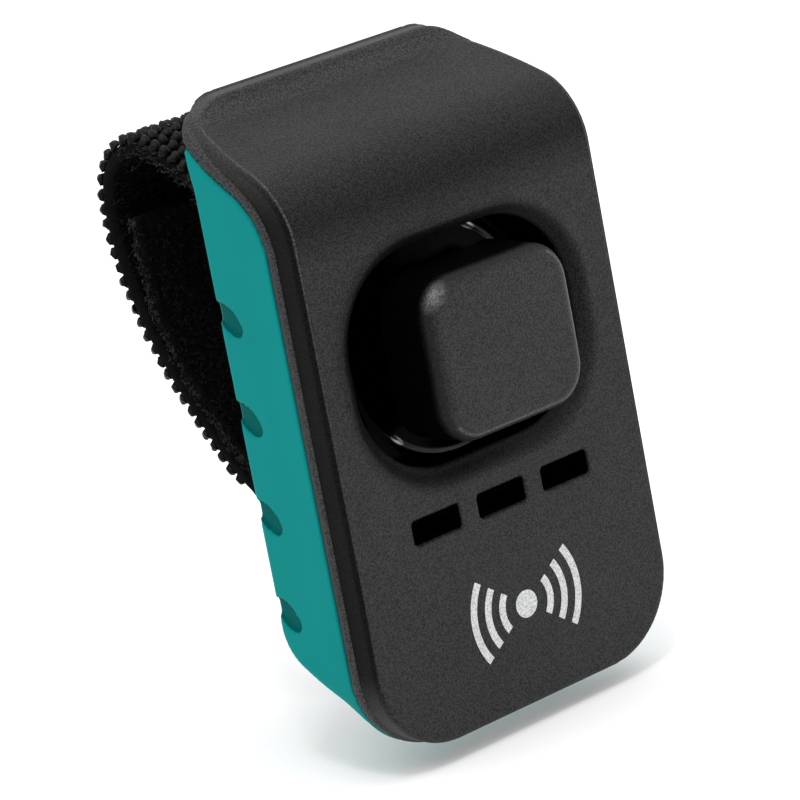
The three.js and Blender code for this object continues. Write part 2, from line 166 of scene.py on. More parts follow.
class Shader:
    """A Principled material whose textures are laid in the object's own coordinates."""

    def __init__(self, name, **sockets):
        self.material = bpy.data.materials.new(name)
        self.material.use_nodes = True
        self.tree = self.material.node_tree
        self.principled = self.tree.nodes["Principled BSDF"]
        for socket, value in sockets.items():
            self.principled.inputs[socket.replace("_", " ")].default_value = value
        self.coordinates = self.add("ShaderNodeTexCoord").outputs["Object"]

    def add(self, kind, **values):
        node = self.tree.nodes.new(kind)
        for key, value in values.items():
            setattr(node, key, value)
        return node

    def link(self, source, target):
        self.tree.links.new(source, target)

    def noise(self, size, detail=2.0, stretch=(1, 1, 1)):
        """Noise whose spots are about size mm across, squeezed along x, y and z by three factors.

        The noise is turned so that its cells lie askew to every flat face.
        """
        node = self.add("ShaderNodeTexNoise")
        node.inputs["Scale"].default_value = 1 / (size * MM)
        node.inputs["Detail"].default_value = detail
        mapping = self.add("ShaderNodeMapping")
        mapping.inputs["Scale"].default_value = stretch
        mapping.inputs["Rotation"].default_value = NOISE_TURN
        self.link(self.coordinates, mapping.inputs["Vector"])
        self.link(mapping.outputs["Vector"], node.inputs["Vector"])
        return node.outputs["Fac"]

    def spread(self, source, low, high, start=0.3, end=0.7):
        node = self.add("ShaderNodeMapRange")
        limits = {"From Min": start, "From Max": end, "To Min": low, "To Max": high}
        for name, value in limits.items():
            node.inputs[name].default_value = value
        self.link(source, node.inputs["Value"])
        return node.outputs["Result"]

    def colour(self, source, dark, light, start=0.3, end=0.7):
        ramp = self.add("ShaderNodeValToRGB")
        stops = ramp.color_ramp.elements
        stops[0].position, stops[1].position = start, end
        stops[0].color, stops[1].color = (*dark, 1), (*light, 1)
        self.link(source, ramp.inputs["Fac"])
        self.link(ramp.outputs["Color"], self.principled.inputs["Base Color"])

    def zone(self, attribute):
        """1 where the mesh's attribute, a distance in mm, is above zero, with a fine soft edge."""
        node = self.add("ShaderNodeAttribute", attribute_name=attribute)
        return self.spread(node.outputs["Fac"], 0, 1, -ZONE_EDGE, ZONE_EDGE)

    def line(self, attribute):
        """1 on the thin line where the mesh's attribute passes through zero."""
        node = self.add("ShaderNodeAttribute", attribute_name=attribute)
        width = self.add("ShaderNodeMath", operation="ABSOLUTE")
        self.link(node.outputs["Fac"], width.inputs[0])
        return self.spread(width.outputs[0], 1, 0, 0.03, 0.11)

    def zoned_colour(self, colour, specular, grain, zones):
        """The base colour and shine, changed in each zone in turn, under a grain of dark and light."""
        tint = self.add("ShaderNodeRGB").outputs[0]
        tint.default_value = (*colour, 1)
        shine = self.add("ShaderNodeValue").outputs[0]
        shine.default_value = specular
        for attribute, zone_colour, zone_shine in zones:
            share = self.line(attribute) if attribute.endswith("line") else self.zone(attribute)
            tint = self.mix(share, tint, (*zone_colour, 1))
            level = self.add("ShaderNodeMix")
            level.inputs["B"].default_value = zone_shine
            self.link(share, level.inputs["Factor"])
            self.link(shine, level.inputs["A"])
            shine = level.outputs["Result"]
        self.link(shine, self.principled.inputs["Specular IOR Level"])
        shade = self.spread(grain, 1 - GRAIN_CONTRAST, 1 + GRAIN_CONTRAST, 0.36, 0.64)
        product = self.add("ShaderNodeVectorMath", operation="SCALE")
        self.link(tint, product.inputs["Vector"])
        self.link(shade, product.inputs["Scale"])
        self.link(product.outputs["Vector"], self.principled.inputs["Base Color"])

    def mix(self, share, first, second):
        node = self.add("ShaderNodeMix", data_type="RGBA")
        factor, a, b = node.inputs[0], node.inputs[6], node.inputs[7]
        self.link(share, factor)
        self.link(first, a)
        b.default_value = second
        return node.outputs[2]

    def roughness(self, source, low, high):
        self.link(self.spread(source, low, high), self.principled.inputs["Roughness"])

    def bump(self, *layers):
        """Bumps, each from a source and its height in mm."""
        normal = None
        for source, height in layers:
            node = self.add("ShaderNodeBump")
            node.inputs["Distance"].default_value = height * MM
            self.link(source, node.inputs["Height"])
            if normal:
                self.link(normal, node.inputs["Normal"])
            normal = node.outputs["Normal"]
        self.link(normal, self.principled.inputs["Normal"])
        return self.material


def scaled(colour, factor):
    return tuple(c * factor for c in colour)


def spark_plastic(name, colour, roughness, specular, height, zones=()):
    """Moulded plastic with the fine even grain of a spark-eroded tool."""
    shader = Shader(name)
    grain = shader.noise(GRAIN_SIZE, 0)
    shader.zoned_colour(colour, specular, grain, zones)
    shader.roughness(shader.noise(9, 3), roughness - 0.05, roughness + 0.05)
    return shader.bump((grain, height))


def smooth_plastic(name, colour, roughness, specular, zones=()):
    """Plastic from a satin tool: hardly any grain, with faint flow marks and fine scuffs."""
    shader = Shader(name)
    flow = shader.noise(6, 3, (1, 1, 0.4))
    scuff = shader.noise(0.35, 4, (1, 1, 3))
    shader.zoned_colour(colour, specular, shader.spread(flow, 0.492, 0.508), zones)
    shader.roughness(scuff, roughness - 0.05, roughness + 0.08)
    return shader.bump((scuff, 0.0015), (shader.noise(0.12, 1), 0.001))


def metal(name, colour, roughness, stretch, zones=()):
    shader = Shader(name, Metallic=1.0)
    grain = shader.noise(0.15, 4, stretch)
    shader.zoned_colour(colour, 0.5, shader.spread(shader.noise(2, 4), 0.47, 0.52), zones)
    shader.roughness(grain, roughness - 0.08, roughness + 0.1)
    return shader.bump((grain, 0.002))


def fibre(name, colour, light, roughness, specular):
    shader = Shader(name, Specular_IOR_Level=specular)
    shader.colour(shader.noise(0.5, 3), colour, light)
    shader.roughness(shader.noise(0.2, 2), roughness - 0.1, roughness + 0.1)
    return shader.bump((shader.noise(0.06, 2), 0.01))


def woven(name, colour, light):
    """Tape of fine plain weave: threads along and across, with fuzz over them."""
    shader = Shader(name, Specular_IOR_Level=0.06)
    threads = []
    for direction in ("X", "Z"):
        wave = shader.add("ShaderNodeTexWave", wave_type="BANDS", bands_direction=direction)
        wave.inputs["Scale"].default_value = 1 / (THREAD_PITCH * MM) / math.tau
        wave.inputs["Distortion"].default_value = 0.6
        shader.link(shader.coordinates, wave.inputs["Vector"])
        threads.append(wave.outputs["Fac"])
    shader.colour(shader.noise(0.4, 4), colour, light)
    shader.roughness(threads[0], 0.75, 0.95)
    return shader.bump((threads[0], 0.05), (threads[1], 0.05), (shader.noise(0.15, 3), 0.06))


COVER_BLACK = (0.0145, 0.0142, 0.0147)
TEAL = (0.001, 0.2, 0.19)
UNLIT_BLACK = (0.0006, 0.0006, 0.0006)

# The shoulder, crest, top_end, recess, wall, edge_line, lip, inside, fillet, rim_line, corner,
# ring_line and glint zones are painted light and shade, standing for studio light: painted
# highlights, painted reflections and painted shade. The plastic and the steel have no such colours.
cover_black = spark_plastic(
    "soft black", COVER_BLACK, 0.55, 0.22, 0.03,
    zones=[
        ("shoulder", scaled(COVER_BLACK, 0.5), 0.11),
        ("crest", scaled(COVER_BLACK, 1.5), 0.33),
        ("top_end", scaled(COVER_BLACK, 0.7), 0.15),
        ("recess", scaled(COVER_BLACK, 0.35), 0.1),
        ("wall", scaled(COVER_BLACK, 0.2), 0.06),
        ("edge_line", scaled(COVER_BLACK, 2.2), 0.3),
        # lip: a painted highlight, the band above the parting line painted lighter
        ("lip", scaled(COVER_BLACK, 1.5), 0.25),
        # inside: painted shade, the walls inside the slots and the hole painted unlit black
        ("inside", UNLIT_BLACK, 0.01),
    ],
)
button_black = spark_plastic(
    "button black", COVER_BLACK, 0.5, 0.22, 0.03,
    zones=[
        ("rim_line", scaled(COVER_BLACK, 4), 0.5),
        ("fillet", scaled(COVER_BLACK, 0.3), 0.16),
        ("corner", scaled(COVER_BLACK, 3.2), 0.7),
        ("wall", UNLIT_BLACK, 0.02),
    ],
)
teal_plastic = smooth_plastic(
    "teal", TEAL, 0.45, 0.03,
    # The inside zone is painted shade: the shell's inner walls are painted unlit black.
    zones=[("grip", scaled(TEAL, 0.45), 0.02), ("inside", UNLIT_BLACK, 0.01)],
)
# Black parts inside the case, painted down to unlit black as painted shade.
inner_black = smooth_plastic("inner black", UNLIT_BLACK, 0.5, 0.03)
# The steel is almost black, partly dark steel and partly painted shade in the hole round the button;
# its ring_line is a painted reflection, a faint lighter ring round the dome.
spring_steel = metal(
    "spring steel", (0.0012, 0.0012, 0.0013), 0.12, (1, 1, 12),
    zones=[("ring_line", (0.02, 0.02, 0.021), 0.5), ("glint", (0.3, 0.3, 0.3), 0.5)],
)
screw_steel = metal("screw steel", (0.4, 0.41, 0.43), 0.32, (1, 8, 1))
strap_web = woven("strap web", (0.0005, 0.0005, 0.0005), (0.002, 0.002, 0.002))
strap_hook = fibre("strap hook", (0.0005, 0.0005, 0.0005), (0.003, 0.003, 0.003), 0.4, 0.12)
strap_pile = fibre("strap pile", (0.0005, 0.0005, 0.0005), (0.016, 0.0155, 0.016), 0.8, 0.06)
strap_fuzz = fibre("strap fuzz", (0.003, 0.003, 0.003), (0.05, 0.049, 0.05), 0.8, 0.1)
stray_fibre = fibre("stray fibre", (0.02, 0.02, 0.022), (0.06, 0.06, 0.065), 0.6, 0.2)


def print_ink():
    """Off-white printing ink, a little thin over the grain below it."""
    shader = Shader("print ink", Specular_IOR_Level=0.3)
    shader.colour(shader.noise(0.14, 2), (0.3, 0.31, 0.31), (0.6, 0.61, 0.61), 0.3, 0.6)
    shader.roughness(shader.noise(0.3, 2), 0.5, 0.7)
    return shader.bump((shader.noise(0.14, 2), 0.01))


# ---- Distance fields ----
# Each field gives about the distance in mm to a surface, below zero inside the material. x, y and
# z are arrays that broadcast together.


def rounded_rectangle(x, z, half_x, half_z, radius):
    qx = np.abs(x) - half_x + radius
    qz = np.abs(z) - half_z + radius
    outside = np.hypot(np.maximum(qx, 0), np.maximum(qz, 0))
    return outside + np.minimum(np.maximum(qx, qz), 0) - radius


def both(a, b, radius):
    """The overlap of two fields, its edge rounded."""
    corner = np.hypot(np.maximum(a + radius, 0), np.maximum(b + radius, 0))
    return np.minimum(np.maximum(a, b), -radius) + corner


def either(a, b, radius):
    """The two fields joined, with a fillet between them."""
    corner = np.hypot(np.maximum(radius - a, 0), np.maximum(radius - b, 0))
    return np.maximum(np.minimum(a, b), radius) - corner


def s_distance(y, z, y0, z0, r0, y1, z1, r1):
    """Distance in front of a line that runs up y0, back through two arcs and up y1."""
    c0, c1 = (y0 + r0, z0), (y1 - r1, z1)
    dy, dz = c1[0] - c0[0], c1[1] - c0[1]
    lean = math.atan2(dz, dy) + math.acos((r0 + r1) / math.hypot(dy, dz))
    ny, nz = math.cos(lean), math.sin(lean)
    along0 = (y - c0[0]) * nz - (z - c0[1]) * ny
    along1 = (y - c1[0]) * nz - (z - c1[1]) * ny
    stretches = [
        (z + 0 * y < z0, y0 - y),
        (along0 < 0, np.hypot(y - c0[0], z - c0[1]) - r0),
        (along1 < 0, (y - c0[0]) * ny + (z - c0[1]) * nz - r0),
        (z + 0 * y < z1, r1 - np.hypot(y - c1[0], z - c1[1])),
    ]
    conditions = [condition for condition, _ in stretches]
    distances = [distance + 0 * z for _, distance in stretches]
    return np.select(conditions, distances, y1 - y + 0 * z)


def plan(x, z):
    """Distance outside the case's outline, seen from the front."""
    middle = (TOP_Z + BOTTOM_Z) / 2
    radius = np.where(z > middle, TOP_CORNER_RADIUS, BOTTOM_CORNER_RADIUS)
    return rounded_rectangle(x, z - middle, HALF_WIDTH, TOP_Z - middle, radius)


def behind_back(y, z):
    """Distance behind the back of the case."""
    return -np.where(z > 0, s_distance(y, z, **BACK_S), s_distance(y, z, **BOTTOM_S))


def rod_y(x, y, z, centre_x, centre_z, radius, low, high):
    round_part = np.hypot(x - centre_x, z - centre_z) - radius
    return np.maximum(round_part, np.maximum(low - y, y - high))


def block(x, y, z, half_x, y_range, z_range, radius):
    qx = np.abs(x) - half_x + radius
    qy = np.maximum(y_range[0] - y, y - y_range[1]) + radius
    qz = np.maximum(z_range[0] - z, z - z_range[1]) + radius
    outside = np.sqrt(np.maximum(qx, 0) ** 2 + np.maximum(qy, 0) ** 2 + np.maximum(qz, 0) ** 2)
    return outside + np.minimum(np.maximum(qx, np.maximum(qy, qz)), 0) - radius


def cover_parting(y, z):
    return s_distance(y, z, **PARTING_S) - SEAM / 2


def cover_field(x, y, z):
    front = s_distance(y, z, **FRONT_S)
    hole = rounded_rectangle(x, z - HOLE_Z, **HOLE)
    recess = rounded_rectangle(x, z - RECESS_Z, **RECESS)
    share = np.clip(hole / np.maximum(hole - recess, 1e-6), 0, 1)
    dished = front + RECESS_DEPTH * 0.5 * (1 + np.cos(math.pi * share))
    sides = plan(x, z)
    parting = cover_parting(y, z)
    outer = both(dished, sides + SIDE_INSET, np.where(z > 22, 0.2, 0.4))
    lip = both(parting - LIP_HEIGHT, sides, 0.3)
    outer = both(either(outer, lip, 0.12), -parting, 0.12)
    outer = both(outer, behind_back(y, z), 0.3)
    hollow = both(front + COVER_WALL, sides + WALL, 1)
    inside = np.maximum(hole - COLLAR_WALL, np.maximum(FRONT_Y + 0.5 - y, y - PLATE_BACK_Y + 0.7))
    for screw_x, screw_z, top in CASE_SCREWS:
        inside = np.minimum(inside, rod_y(x, y, z, screw_x, screw_z, 1.7, FRONT_Y + 1, top - GAP))
    for screw_x, screw_z in CARRIER_SCREWS:
        inside = np.minimum(inside, rod_y(x, y, z, screw_x, screw_z, 1.45, FRONT_Y + 1, PLATE_BACK_Y))
    body = np.minimum(both(outer, -hollow, 0.2), np.maximum(inside, outer))
    body = both(body, -hole, 0.28)
    for i in (-1, 0, 1):
        slot = rounded_rectangle(x - i * SLOT_PITCH, z - SLOT_Z, **SLOT)
        body = both(body, -np.maximum(slot, y - FRONT_Y - 3), 0.1)
    return body


def dimple_field(x, y, z):
    """The flat-floored ovals cut into the back edges of the sides."""
    cut = np.full(np.broadcast(x, y, z).shape, 9.0)
    for dimple_z in DIMPLE_Z:
        dy, dz = y - DIMPLE_Y, z - dimple_z
        along = dy * math.cos(DIMPLE_LEAN) + dz * math.sin(DIMPLE_LEAN)
        across = dz * math.cos(DIMPLE_LEAN) - dy * math.sin(DIMPLE_LEAN)
        reach = np.hypot(along / DIMPLE_HALF_LENGTH, across / DIMPLE_HALF_WIDTH)
        oval = DIMPLE_HALF_WIDTH * (reach - 1)
        cut = np.minimum(cut, np.maximum(oval, HALF_WIDTH - DIMPLE_DEPTH - np.abs(x)))
    return cut


def shell_field(x, y, z):
    back = behind_back(y, z)
    sides = plan(x, z)
    parting = s_distance(y, z, **PARTING_S) + SEAM / 2
    outer = both(both(back, sides, 0.35), parting, 0.06)
    hollow = both(back + WALL, sides + WALL, 1)
    inside = rod_y(x, y, z, 0, BUTTON_Z, 2.2, -2.7, -0.5)
    for low, high in POCKETS:
        skin_y = (-POCKET_DEPTH - POCKET_SKIN, -0.5)
        skin_z = (low - POCKET_SKIN, high + POCKET_SKIN)
        skin = block(x, y, z, POCKET_HALF_WIDTH + POCKET_SKIN, skin_y, skin_z, 0.3)
        inside = np.minimum(inside, skin)
    for screw_x, screw_z, top in CASE_SCREWS:
        inside = np.minimum(inside, rod_y(x, y, z, screw_x, screw_z, 1.9, top, -0.5))
    body = np.minimum(both(outer, -hollow, 0.2), np.maximum(inside, outer))
    for low, high in POCKETS:
        room = block(x, y, z, POCKET_HALF_WIDTH, (-POCKET_DEPTH, 2), (low, high), 0.3)
        body = both(body, -room, 0.25)
    for screw_x, screw_z, _ in CASE_SCREWS:
        body = both(body, -rod_y(x, y, z, screw_x, screw_z, 1.6, -1.6, 2), 0.12)
        body = np.maximum(body, -rod_y(x, y, z, screw_x, screw_z, 0.95, -12, 2))
    return both(body, -dimple_field(x, y, z), 0.06)


def below_crown(x, y, z):
    """Distance behind the button's slightly crowned face."""
    crown = (x / BUTTON_X) ** 2 + ((z - BUTTON_Z) / BUTTON_HALF_Z) ** 2
    return y - cap_low[1] - 0.12 * crown


def cap_field(x, y, z):
    depth = (y - cap_low[1]) / (cap_high[1] - cap_low[1])
    draft = BUTTON_DRAFT * (depth - 1)
    radius = BUTTON_RADIUS + BUTTON_DRAFT
    side = rounded_rectangle(x, z - BUTTON_Z, BUTTON_X, BUTTON_HALF_Z, radius) - draft
    cap = both(side, -below_crown(x, y, z), BUTTON_FILLET)
    cap = both(cap, y - cap_high[1], 0.15)
    bore = side + BUTTON_WALL
    return both(cap, -np.maximum(bore, cap_low[1] + BUTTON_WALL - y), 0.1)


def plate_field(x, y, z):
    radius = np.hypot(x, z - BUTTON_Z)
    turn = np.clip(radius / DOME_RADIUS, 0, 1)
    rise = DOME_HEIGHT * np.cos(math.pi / 2 * turn) ** 2
    rise = rise + 0.12 * np.exp(-(((radius - DOME_RADIUS - 0.5) / 0.3) ** 2))
    middle = PLATE_BACK_Y - PLATE_THICKNESS / 2 - rise
    slab = np.abs(y - middle) - PLATE_THICKNESS / 2
    outline = rounded_rectangle(x, z - BUTTON_Z, **PLATE)
    return both(both(slab, outline, 0.1), 1 - radius, 0.1)


def case_screw_field(screw_x, screw_z, top):
    """A pan-headed screw with a cross recess, head towards the back."""

    def field(x, y, z):
        radius = np.hypot(x - screw_x, z - screw_z)
        head = both(radius - 1.3, np.maximum(-1.3 - y, y + 0.4 + 0.12 * radius**2), 0.15)
        shank = np.maximum(radius - 0.7, np.maximum(top - 2.4 - y, y + 1.2))
        arms = [
            block(x - screw_x, y, z - screw_z, half_x, (-0.95, 1), (-half_z, half_z), 0.05)
            for half_x, half_z in ((0.18, 0.78), (0.78, 0.18))
        ]
        return both(np.minimum(head, shank), -np.minimum(*arms), 0.05)

    return field


# ---- Meshes ----


def mesh_object(name, points, faces, materials, normals=None):
    mesh = bpy.data.meshes.new(name)
    mesh.from_pydata((points * MM).tolist(), [], faces)
    for material in materials:
        mesh.materials.append(material)
    mesh.polygons.foreach_set("use_smooth", np.ones(len(mesh.polygons), bool))
    mesh.update()
    if normals is not None:
        mesh.normals_split_custom_set_from_vertices(normals.tolist())
    made = bpy.data.objects.new(name, mesh)
    bpy.context.scene.collection.objects.link(made)
    return made


def gradient(field, points, step=0.01):
    slopes = []
    for axis in range(3):
        ahead, behind = points.copy(), points.copy()
        ahead[:, axis] += step
        behind[:, axis] -= step
        slopes.append((field(*ahead.T) - field(*behind.T)) / (2 * step))
    return np.stack(slopes, 1)


def field_object(name, field, low, high, step, materials):
    """The surface where a field is zero, between two corners, as a mesh of quads of about step."""
    axes = [np.arange(low[i] - 2 * step, high[i] + 3 * step, step) for i in range(3)]
    x, y, z = axes[0][:, None, None], axes[1][None, :, None], axes[2][None, None, :]
    shape = [len(axis) for axis in axes]
    values = np.broadcast_to(field(x, y, z), shape).astype(np.float32)
    grid = vdb.FloatGrid()
    grid.copyFromArray(np.clip(values, -2 * step, 2 * step))
    points, quads = grid.convertToQuads(isovalue=0.0)
    points = points.astype(float) * step + np.array([a[0] for a in axes])
    for _ in range(4):
        slope = gradient(field, points)
        size = np.maximum((slope**2).sum(1), 0.2)
        move = slope * (field(*points.T) / size)[:, None]
        points -= np.clip(move, -step / 3, step / 3)
    slope = gradient(field, points, 0.03)
    normals = slope / np.maximum(np.linalg.norm(slope, axis=1), 1e-6)[:, None]
    return mesh_object(name, points, quads.tolist(), materials, normals)


def mark(piece, **zones):
    """Stores each zone's signed distance, a function of x, y and z in mm, above zero inside it."""
    points = np.zeros(len(piece.data.vertices) * 3)
    piece.data.vertices.foreach_get("co", points)
    x, y, z = points.reshape(-1, 3).T / MM
    for name, inside in zones.items():
        attribute = piece.data.attributes.new(name, "FLOAT", "POINT")
        attribute.data.foreach_set("value", inside(x, y, z).astype(np.float32))


def finish_piece(piece, body, slot, *nodes):
    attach(piece, body)
    if nodes:
        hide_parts(*nodes)
    return piece


# ---- Case ----


def make_cover():
    piece = field_object(
        "front_cover_skin", cover_field, cover_low, cover_high, 0.24, [cover_black]
    )

    def depth(y, z):
        return -s_distance(y, z, **FRONT_S)

    # The inside zone is painted shade: the walls inside the slots and the hole are painted unlit
    # black.
    def inside(x, y, z):
        slots = np.maximum(np.abs(z - SLOT_Z) - 1.1, np.abs(x) - SLOT_PITCH - 2.5)
        in_slots = np.minimum(depth(y, z) - 0.2, -slots)
        in_hole = np.minimum(depth(y, z) - RECESS_DEPTH - 0.2, -plan(x, z) - 1)
        return np.maximum(in_slots, np.minimum(in_hole, 17 - z))

    def shoulder(x, y, z):
        """The band where the face turns back, darkest at its middle."""
        return 0.04 - 0.08 * np.maximum((z - 16) / 4.5, (15.2 - z) / 3)

    def crest(x, y, z):
        return 0.04 - 0.08 * np.maximum((23 - z) / 1.2, (z - 23.9) / 0.2)

    def wall(x, y, z):
        faded = 0.02 * np.minimum(18 - z, z + 20)
        return np.minimum(plan(x, z) + SIDE_INSET + 0.3, faded)

    def edge_line(x, y, z):
        thinner = 1 + 0.5 * np.maximum(14 - z, 0) + 3 * np.maximum(z - 22, 0)
        return (plan(x, z) + SIDE_INSET + 0.35) * thinner

    # The lip zone is a painted highlight: the band above the parting line is painted lighter.
    def lip(x, y, z):
        on_side = np.minimum(plan(x, z) + 0.6, 0.1 * (22.5 - z))
        return np.minimum(LIP_HEIGHT + 0.05 - cover_parting(y, z), on_side)

    def recess(x, y, z):
        shaded = 0.5 * np.clip((z - RECESS_Z - x) / 15, -1, 1)
        return (shaded - 0.3 - rounded_rectangle(x, z - RECESS_Z, **RECESS)) * 0.06

    mark(
        piece,
        shoulder=shoulder,
        crest=crest,
        top_end=lambda x, y, z: 0.8 * (z - TOP_Z + 0.15),
        recess=recess,
        wall=wall,
        edge_line=edge_line,
        lip=lip,
        inside=inside,
    )
    return finish_piece(piece, "case", "soft_black", "front_cover")


def make_shell():
    low, high = box_mm("back_shell")
    piece = field_object("back_shell_skin", shell_field, low, high, 0.25, [teal_plastic])

    # The dimple floors are a darker teal.
    def grip(x, y, z):
        return np.minimum(0.05 - dimple_field(x, y, z), HALF_WIDTH - 0.08 - np.abs(x))

    # The inside zone is painted shade: the shell's inner walls are painted unlit black.
    def inside(x, y, z):
        return 0.1 - WALL - np.maximum(plan(x, z), behind_back(y, z))

    mark(piece, grip=grip, inside=inside)
    return finish_piece(piece, "case", "teal", "back_shell")


def make_screws():
    names = ["upper_left", "upper_right", "lower_left", "lower_right"]
    for name, (screw_x, screw_z, top) in zip(names, CASE_SCREWS):
        low, high = box_mm("case_screw_" + name)
        field = case_screw_field(screw_x, screw_z, top)
        piece = field_object("screw_" + name, field, low, high, 0.09, [screw_steel])
        finish_piece(piece, "case", "screw_steel", "case_screw_" + name)


def ring_sector(radius, width, middle, half_angle, steps=24):
    """A flat arc of even width with square ends, as an outline of (x, z) points."""
    outline = []
    for side, start, end in ((1, -half_angle, half_angle), (-1, half_angle, -half_angle)):
        for i in range(steps + 1):
            angle = middle + start + (end - start) * i / steps
            reach = radius + side * width / 2
            outline.append((reach * math.cos(angle), reach * math.sin(angle)))
    return outline


def make_print():
    """A plain sound mark, a dot between arcs, printed below the slots."""
    angles = np.linspace(0, math.tau, 40)[:-1]
    dot = [(PRINT_DOT_RADIUS * math.cos(a), PRINT_DOT_RADIUS * math.sin(a)) for a in angles]
    outlines = [dot]
    for radius in PRINT_ARC_RADII:
        for middle in (0, math.pi):
            outline = ring_sector(radius, PRINT_ARC_WIDTH, middle, PRINT_ARC_HALF_ANGLE)
            outlines.append(outline)
    points, faces = [], []
    for outline in outlines:
        start, count = len(points), len(outline)
        for depth in (FRONT_Y - 0.025, FRONT_Y + 0.01):
            points += [(PRINT_CENTRE[0] + x, depth, PRINT_CENTRE[1] + z) for x, z in outline]
        front = list(range(start, start + count))
        back = [i + count for i in front]
        faces += [front, back[::-1]]
        faces += [
            [front[i], back[i], back[(i + 1) % count], front[(i + 1) % count]] for i in range(count)
        ]
    piece = mesh_object("print_mark", np.array(points), faces, [print_ink()])
    piece.data.polygons.foreach_set("use_smooth", np.zeros(len(piece.data.polygons), bool))
    finish_piece(piece, "case", None)


# ---- Button and plate ----


def make_button():
    piece = field_object("button_cap_skin", cap_field, cap_low, cap_high, 0.16, [button_black])

    def rim_line(x, y, z):
        """Bright along the right and the bottom; elsewhere it lies hidden in the wall's zone."""
        towards = np.maximum(-x / BUTTON_X, (z - BUTTON_Z) / BUTTON_HALF_Z)
        return below_crown(x, y, z) - 0.2 - 10 * np.maximum(towards - 0.85, 0)

    def corner(x, y, z):
        """A bright place on the upper left corner of the fillet, standing for a highlight."""
        along, across = x + z - 2.5, z - x - 14.1
        depth = below_crown(x, y, z) - 0.5
        return 0.07 * (0.75 - np.sqrt(0.35 * along**2 + across**2 + depth**2))

    mark(
        piece,
        fillet=lambda x, y, z: 0.2 * (below_crown(x, y, z) - 0.2),
        rim_line=rim_line,
        corner=corner,
        wall=lambda x, y, z: 0.1 * (below_crown(x, y, z) - 1.1),
    )
    return finish_piece(piece, "button", "button_black", "button_cap")


def make_plate():
    piece = field_object(
        "click_plate_skin", plate_field, plate_low, plate_high, 0.18, [spring_steel]
    )

    def ring(x, z):
        return np.hypot(x, z - BUTTON_Z) - RING_RADIUS

    def glint(x, y, z):
        """Two short bright places on the ring round the dome."""
        turn = np.arctan2(z - BUTTON_Z, x)
        along = DOME_RADIUS * np.minimum(np.abs(turn - 1.02), np.abs(turn + 2.33))
        return 0.1 * (1 - np.hypot(ring(x, z) / 0.2, along / 0.6))

    # ring_line is a painted reflection: a faint lighter ring round the dome.
    mark(piece, ring_line=lambda x, y, z: 0.45 * ring(x, z), glint=glint)
    finish_piece(piece, "case", "spring_steel", "click_plate")
    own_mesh(piece)


# ---- Strap ----


def smooth_line(line, spacing):
    """A centripetal Catmull-Rom curve through (y, z) points, as points evenly spaced along it."""
    points = np.array(line, float)
    points = np.vstack([2 * points[0] - points[1], points, 2 * points[-1] - points[-2]])
    curve = []
    for p0, p1, p2, p3 in zip(points, points[1:], points[2:], points[3:]):
        steps = ((p0, p1), (p1, p2), (p2, p3))
        t0, t1, t2 = (math.sqrt(np.linalg.norm(b - a)) for a, b in steps)
        start = ((p1 - p0) / t0 - (p2 - p0) / (t0 + t1) + (p2 - p1) / t1) * t1
        end = ((p2 - p1) / t1 - (p3 - p1) / (t1 + t2) + (p3 - p2) / t2) * t1
        t = np.linspace(0, 1, 60, endpoint=False)[:, None]
        cubic = (2 * p1 - 2 * p2 + start + end) * t**3
        curve.append(cubic + (3 * p2 - 3 * p1 - 2 * start - end) * t**2 + start * t + p1)
    curve = np.vstack([*curve, points[-2][None]])
    reach = np.concatenate([[0], np.cumsum(np.linalg.norm(np.diff(curve, axis=0), axis=1))])
    places = np.linspace(0, reach[-1], int(round(reach[-1] / spacing)) + 1)
    return np.stack([np.interp(places, reach, curve[:, i]) for i in (0, 1)], 1), reach[-1]


class Tape:
    """A tape along a line in the YZ plane. outward is 1 where its outer side is left of the line."""

    def __init__(self, line, thickness, outward):
        self.points, self.length = smooth_line(line, 0.25)
        self.thickness = thickness
        along = np.gradient(self.points, axis=0)
        self.along = along / np.linalg.norm(along, axis=1)[:, None]
        self.out = outward * np.stack([-self.along[:, 1], self.along[:, 0]], 1)

    def at(self, x, distance, height):
        """Points at x across the tape, a distance along it, and a height off its middle."""
        place = np.clip(distance, 0, self.length) / self.length * (len(self.points) - 1)
        steps = np.arange(len(self.points))
        made = []
        for axis in (0, 1):
            middle = np.interp(place, steps, self.points[:, axis])
            out = np.interp(place, steps, self.out[:, axis])
            made.append(middle + out * height)
        return np.stack(np.broadcast_arrays(x, *made), -1)


def tape_mesh(tape, jitter):
    """The tape's web: rounded selvedges, an uneven surface, and closed ends."""
    half, reach = tape.thickness / 2, STRAP_WIDTH / 2 - tape.thickness / 2
    across = np.linspace(-reach, reach, 80)
    turn = np.linspace(-math.pi / 2, math.pi / 2, 7)[1:-1]
    right = np.stack([reach + half * np.cos(turn), -half * np.sin(turn)], 1)
    top = np.stack([across, np.full(len(across), half)], 1)
    bottom = np.stack([across[::-1], np.full(len(across), -half)], 1)
    ring = np.vstack([top, right, bottom, -right])
    count, rings = len(ring), len(tape.points)
    distance = np.linspace(0, tape.length, rings)[:, None]
    uneven = 1 + jitter * rng.uniform(-1, 1, (rings, count)) / half
    x = ring[None, :, 0] + 0 * distance
    points = tape.at(x, distance + 0 * x, ring[:, 1] * uneven)
    a = (np.arange(rings - 1)[:, None] * count + np.arange(count)).ravel()
    b = (np.arange(rings - 1)[:, None] * count + (np.arange(count) + 1) % count).ravel()
    faces = np.stack([a, b, b + count, a + count], 1).tolist()
    last = (rings - 1) * count
    faces += [list(range(count))[::-1], [last + i for i in range(count)]]
    return points.reshape(-1, 3), faces


